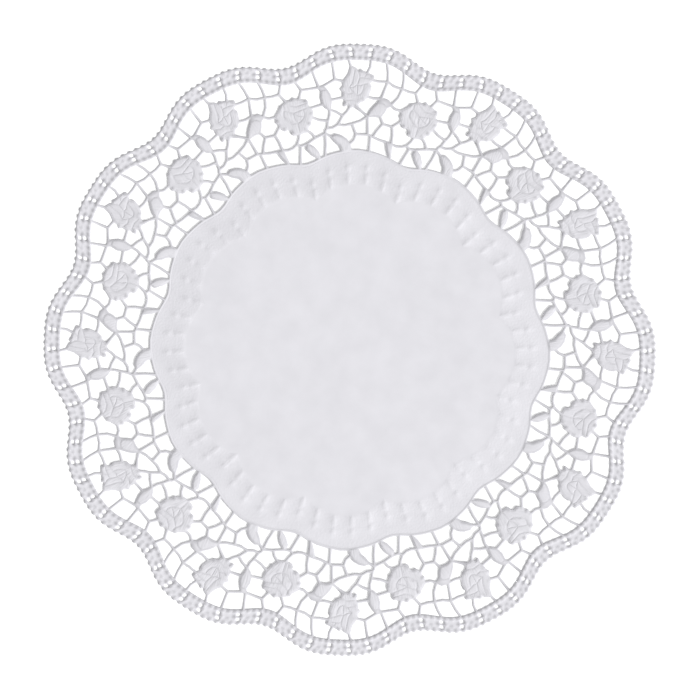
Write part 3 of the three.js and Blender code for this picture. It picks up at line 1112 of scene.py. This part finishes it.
finder = kdtree.KDTree(len(lace_mesh.vertices))
for index, vert in enumerate(lace_mesh.vertices):
    finder.insert((vert.co.x, vert.co.y, 0), index)
finder.balance()
knob_count = 0
for rose in (CROWN_ROSE, VALLEY_ROSE):
    for across, outward, strength in rose["knobs"]:
        for middle in every_repeat(rose_place(rose, across, outward)):
            knob_count += 1
            for where, index, distance in finder.find_range(middle, KNOB_RADIUS):
                knob = strength * dome(distance, 0, KNOB_RADIUS, 1)
                vert = lace_mesh.vertices[index]
                vert.co.z += KNOB_LIFT * knob
                press_and_shade_data[index].value = max(press_and_shade_data[index].value, KNOB_PRESS_AND_SHADE * knob)
                if index in cut_verts:
                    away = (where - middle) / distance
                    vert.co += away * (strength * (KNOB_RADIUS - distance))
print(knob_count, "knobs")

# %% [markdown]
# The top of a petal or leaf is still level. Its middle goes up a little and loses its pressed tone
# and painted shade, so it is painted lighter on top, like soft paper that swelled between the pressed
# lines.

# %% Round tops of the petals and leaves
PILLOW_ROUND = 0.06

for middle in pillow_middles:
    _, index, _ = finder.find((middle.x, middle.y, 0))
    lace_mesh.vertices[index].co.z += PILLOW_ROUND
    press_and_shade_data[index].value = 0
print(len(pillow_middles), "tops rounded")

# %% [markdown]
# Fine veins run along the petals and leaves, and the band of the strokes has a fine grain. They are
# under a tenth of a millimetre deep, too shallow for faces, so they become a bump in the material.
# Veins fan out from a foot under each rose or leaf. The vertices keep their directions, across and
# along the veins, and every rose or leaf reads another stretch of the noise.

# %% Feet of the veins
VEIN_FOOT = -16
LEAF_LEAN = 4
ROSE_REACH = 9
LEAF_REACH = 3

ornaments = []
for rose in (CROWN_ROSE, VALLEY_ROSE):
    hearts, feet = (every_repeat(rose_place(rose, 0, outward)) for outward in (0, VEIN_FOOT))
    ornaments += [(heart.xy, foot.xy, ROSE_REACH) for heart, foot in zip(hearts, feet)]
for across, outward in LEAF_MIDDLES:
    middles = every_repeat(chart_place(across, outward))
    feet = every_repeat(chart_place(across + LEAF_LEAN, outward + VEIN_FOOT))
    ornaments += [(middle.xy, foot.xy, LEAF_REACH) for middle, foot in zip(middles, feet)]
print("veins of", len(ornaments), "roses and leaves")

# %% Directions of the veins
VEIN_WIDTH = 0.8
VEIN_LENGTH = 5
LEAST_VEIN = 0.01
NOISE_STEP = 7.3
BAND_EDGE = 0.9
BAND_WIDTH = 17
BAND_GRAIN = 1.1
BAND_SHARE = 0.5


def vein_coordinates(point):
    """Across and along the veins, which fan out from a foot under each rose or leaf."""
    number, (heart, foot, reach) = min(
        enumerate(ornaments), key=lambda item: (item[1][0] - point).length - item[1][2]
    )
    away = point - foot
    aside = away.angle_signed(heart - foot)
    return (-VEIN_FOOT * aside / VEIN_WIDTH, away.length / VEIN_LENGTH, NOISE_STEP * number)


veined = 0
vein_places = lace_mesh.attributes.new("vein_place", "FLOAT_VECTOR", "POINT").data
veins = lace_mesh.attributes["vein"].data
for vert, place_value, vein in zip(lace_mesh.vertices, vein_places, veins):
    radius = math.hypot(vert.co.x, vert.co.y)
    inside = ring_radius(CENTRE_LINE, turn_of(vert.co)) - radius
    if inside > BAND_EDGE:
        vein.value = BAND_SHARE if inside < BAND_WIDTH else 0
        place_value.vector = (vert.co.x / BAND_GRAIN, vert.co.y / BAND_GRAIN, 0)
    elif vein.value > LEAST_VEIN:
        place_value.vector = vein_coordinates(vert.co.xy)
        veined += 1
print(veined, "vertices of petals and leaves have veins")

# %% [markdown]
# No press leaves paper dead flat. The pressed lace draws the plain centre up by just over a
# millimetre, while the braid edge lies on the table. A slow noise also lifts the lace by up to a
# third of a millimetre here and there, and the centre much less, because it is stiffer.

# %% Height over the table
MIDDLE_HEIGHT = 1.4
LACE_HEIGHT = 0.4
EDGE_HEIGHT = 0.02
CENTRE_SLOPE = (68, 98)
LACE_SLOPE = (98, 140)


def step_between(radius, start, end):
    reach = min(1, max(0, (radius - start) / (end - start)))
    return reach * reach * (3 - 2 * reach)


def stand_height(radius):
    """The sheet's middle stands a little above the lace, and the braid edge lies down."""
    height = MIDDLE_HEIGHT + (LACE_HEIGHT - MIDDLE_HEIGHT) * step_between(radius, *CENTRE_SLOPE)
    return height + (EDGE_HEIGHT - LACE_HEIGHT) * step_between(radius, *LACE_SLOPE)


print("height half-way, mm:", round(stand_height(CENTRE_SLOPE[1]), 2))

# %% Unevenness
LACE_WAVE = 0.25
CALM_WAVE = 0.05
WAVE_START = (90, 108)
WAVE_END = (122, 138)
SLOW_PITCH = 26
QUICK_PITCH = 9
QUICK_SHIFT = 400
QUICK_SHARE = 0.35


def wave_at(point):
    slow = noise.noise(Vector((point.x, point.y, 0)) / SLOW_PITCH)
    quick = noise.noise(Vector((point.x + QUICK_SHIFT, point.y, 0)) / QUICK_PITCH)
    radius = math.hypot(point.x, point.y)
    reach = step_between(radius, *WAVE_START) - step_between(radius, *WAVE_END)
    height = CALM_WAVE + (LACE_WAVE - CALM_WAVE) * reach
    return height * max(0, 0.5 + slow + QUICK_SHARE * quick)


waves = [wave_at(vert.co) for vert in lace_mesh.vertices]
print("highest wave, mm:", round(max(waves), 2))

# %% [markdown]
# The paper gets its thickness last, from a live Solidify modifier. Until now the mesh was the
# paper's middle layer, so it goes up by half the thickness to lie on the table. Blender measures
# in metres, so the millimetres are scaled down here, once.

# %% Paper thickness and scale
PAPER_THICKNESS = 0.12

for vert, wave in zip(lace_mesh.vertices, waves):
    height = stand_height(math.hypot(vert.co.x, vert.co.y))
    vert.co.z += wave + height + PAPER_THICKNESS / 2
for vert in lace_mesh.vertices:
    vert.co *= MM
for polygon in lace_mesh.polygons:
    polygon.use_smooth = True
lace = bpy.data.objects.new("paper_lace", lace_mesh)
bpy.context.scene.collection.objects.link(lace)
thickness = lace.modifiers.new("paper_thickness", "SOLIDIFY")
thickness.thickness = PAPER_THICKNESS * MM
thickness.offset = 0
print("sheet:", [round(side * 1000, 1) for side in lace.dimensions], "mm")

# %% [markdown]
# Doily paper is bleached, uncoated and soft: matte, a little cloudy, and darker where the die has
# pressed it hard. All of it comes from nodes, so there is no picture to stretch over the relief.
# The mesh's press value mixes in a darker grey, which is the pressed paper's tone and also painted
# shade on cords, folds, cut edges, beads and knobs, and a cloudy noise varies the whole by a few
# hundredths.

# %% Node helpers
def add_attribute(nodes, name):
    node = nodes.new("ShaderNodeAttribute")
    node.attribute_name = name
    return node.outputs


def add_noise(nodes, links, where, scale, detail):
    node = nodes.new("ShaderNodeTexNoise")
    node.inputs["Scale"].default_value = scale
    node.inputs["Detail"].default_value = detail
    links.new(where, node.inputs["Vector"])
    return node.outputs["Fac"]


def add_colour_mix(nodes, blend):
    node = nodes.new("ShaderNodeMix")
    node.data_type = "RGBA"
    node.blend_type = blend
    return node


PAPER_COLOUR = (0.722, 0.715, 0.752)
PAPER_ROUGHNESS = 0.85
PAPER_GLOSS = 0.2

paper = plain_material("embossed_paper", PAPER_COLOUR, PAPER_ROUGHNESS)
nodes, links = paper.node_tree.nodes, paper.node_tree.links
shader = nodes["Principled BSDF"]
shader.inputs["Specular IOR Level"].default_value = PAPER_GLOSS
on_sheet = nodes.new("ShaderNodeTexCoord").outputs["Object"]
print("paper colour:", PAPER_COLOUR)

# %% Tone of the paper, with painted shade
# The darker grey stands both for pressed paper and for painted shade on the relief.
PRESSED_AND_SHADE_COLOUR = (0.46, 0.455, 0.482)
CLOUD_SCALE = 90
CLOUD_DETAIL = 5
CLOUD_CONTRAST = 0.03

press_and_shade_tint = add_colour_mix(nodes, "MIX")
press_and_shade_tint.inputs["A"].default_value = (*PAPER_COLOUR, 1)
press_and_shade_tint.inputs["B"].default_value = (*PRESSED_AND_SHADE_COLOUR, 1)
links.new(add_attribute(nodes, "press_and_shade")["Fac"], press_and_shade_tint.inputs["Factor"])

clouds = nodes.new("ShaderNodeMapRange")
clouds.inputs["From Min"].default_value = 0.3
clouds.inputs["From Max"].default_value = 0.7
clouds.inputs["To Min"].default_value = 1 - CLOUD_CONTRAST
clouds.inputs["To Max"].default_value = 1 + CLOUD_CONTRAST
links.new(add_noise(nodes, links, on_sheet, CLOUD_SCALE, CLOUD_DETAIL), clouds.inputs["Value"])

shaded = add_colour_mix(nodes, "MULTIPLY")
shaded.inputs["Factor"].default_value = 1
links.new(press_and_shade_tint.outputs["Result"], shaded.inputs["A"])
links.new(clouds.outputs["Result"], shaded.inputs["B"])
links.new(shaded.outputs["Result"], shader.inputs["Base Color"])
print("pressed colour:", PRESSED_AND_SHADE_COLOUR)

# %% [markdown]
# The grain is two noises as bumps, one on the other. The veins read the directions that the mesh
# holds and fade out with its vein value. The fibres are much finer and lie all over the sheet.

# %% Grain of the paper
VEIN_DEPTH = 0.2
FIBRE_SCALE = 2600
FIBRE_DETAIL = 3
FIBRE_DEPTH = 0.03
FIBRE_STRENGTH = 0.25

vein_noise = add_noise(nodes, links, add_attribute(nodes, "vein_place")["Vector"], 1, 1)
vein_height = nodes.new("ShaderNodeMath")
vein_height.operation = "MULTIPLY"
links.new(vein_noise, vein_height.inputs[0])
links.new(add_attribute(nodes, "vein")["Fac"], vein_height.inputs[1])
vein_bump = nodes.new("ShaderNodeBump")
vein_bump.inputs["Distance"].default_value = VEIN_DEPTH * MM
links.new(vein_height.outputs["Value"], vein_bump.inputs["Height"])

fibre_bump = nodes.new("ShaderNodeBump")
fibre_bump.inputs["Strength"].default_value = FIBRE_STRENGTH
fibre_bump.inputs["Distance"].default_value = FIBRE_DEPTH * MM
links.new(add_noise(nodes, links, on_sheet, FIBRE_SCALE, FIBRE_DETAIL), fibre_bump.inputs["Height"])
links.new(vein_bump.outputs["Normal"], fibre_bump.inputs["Normal"])
links.new(fibre_bump.outputs["Normal"], shader.inputs["Normal"])
lace_mesh.materials.append(paper)
print(len(nodes), "nodes make the paper")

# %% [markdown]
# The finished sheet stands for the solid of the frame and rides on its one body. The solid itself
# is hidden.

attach(lace, "root")
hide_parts("lace_sheet")
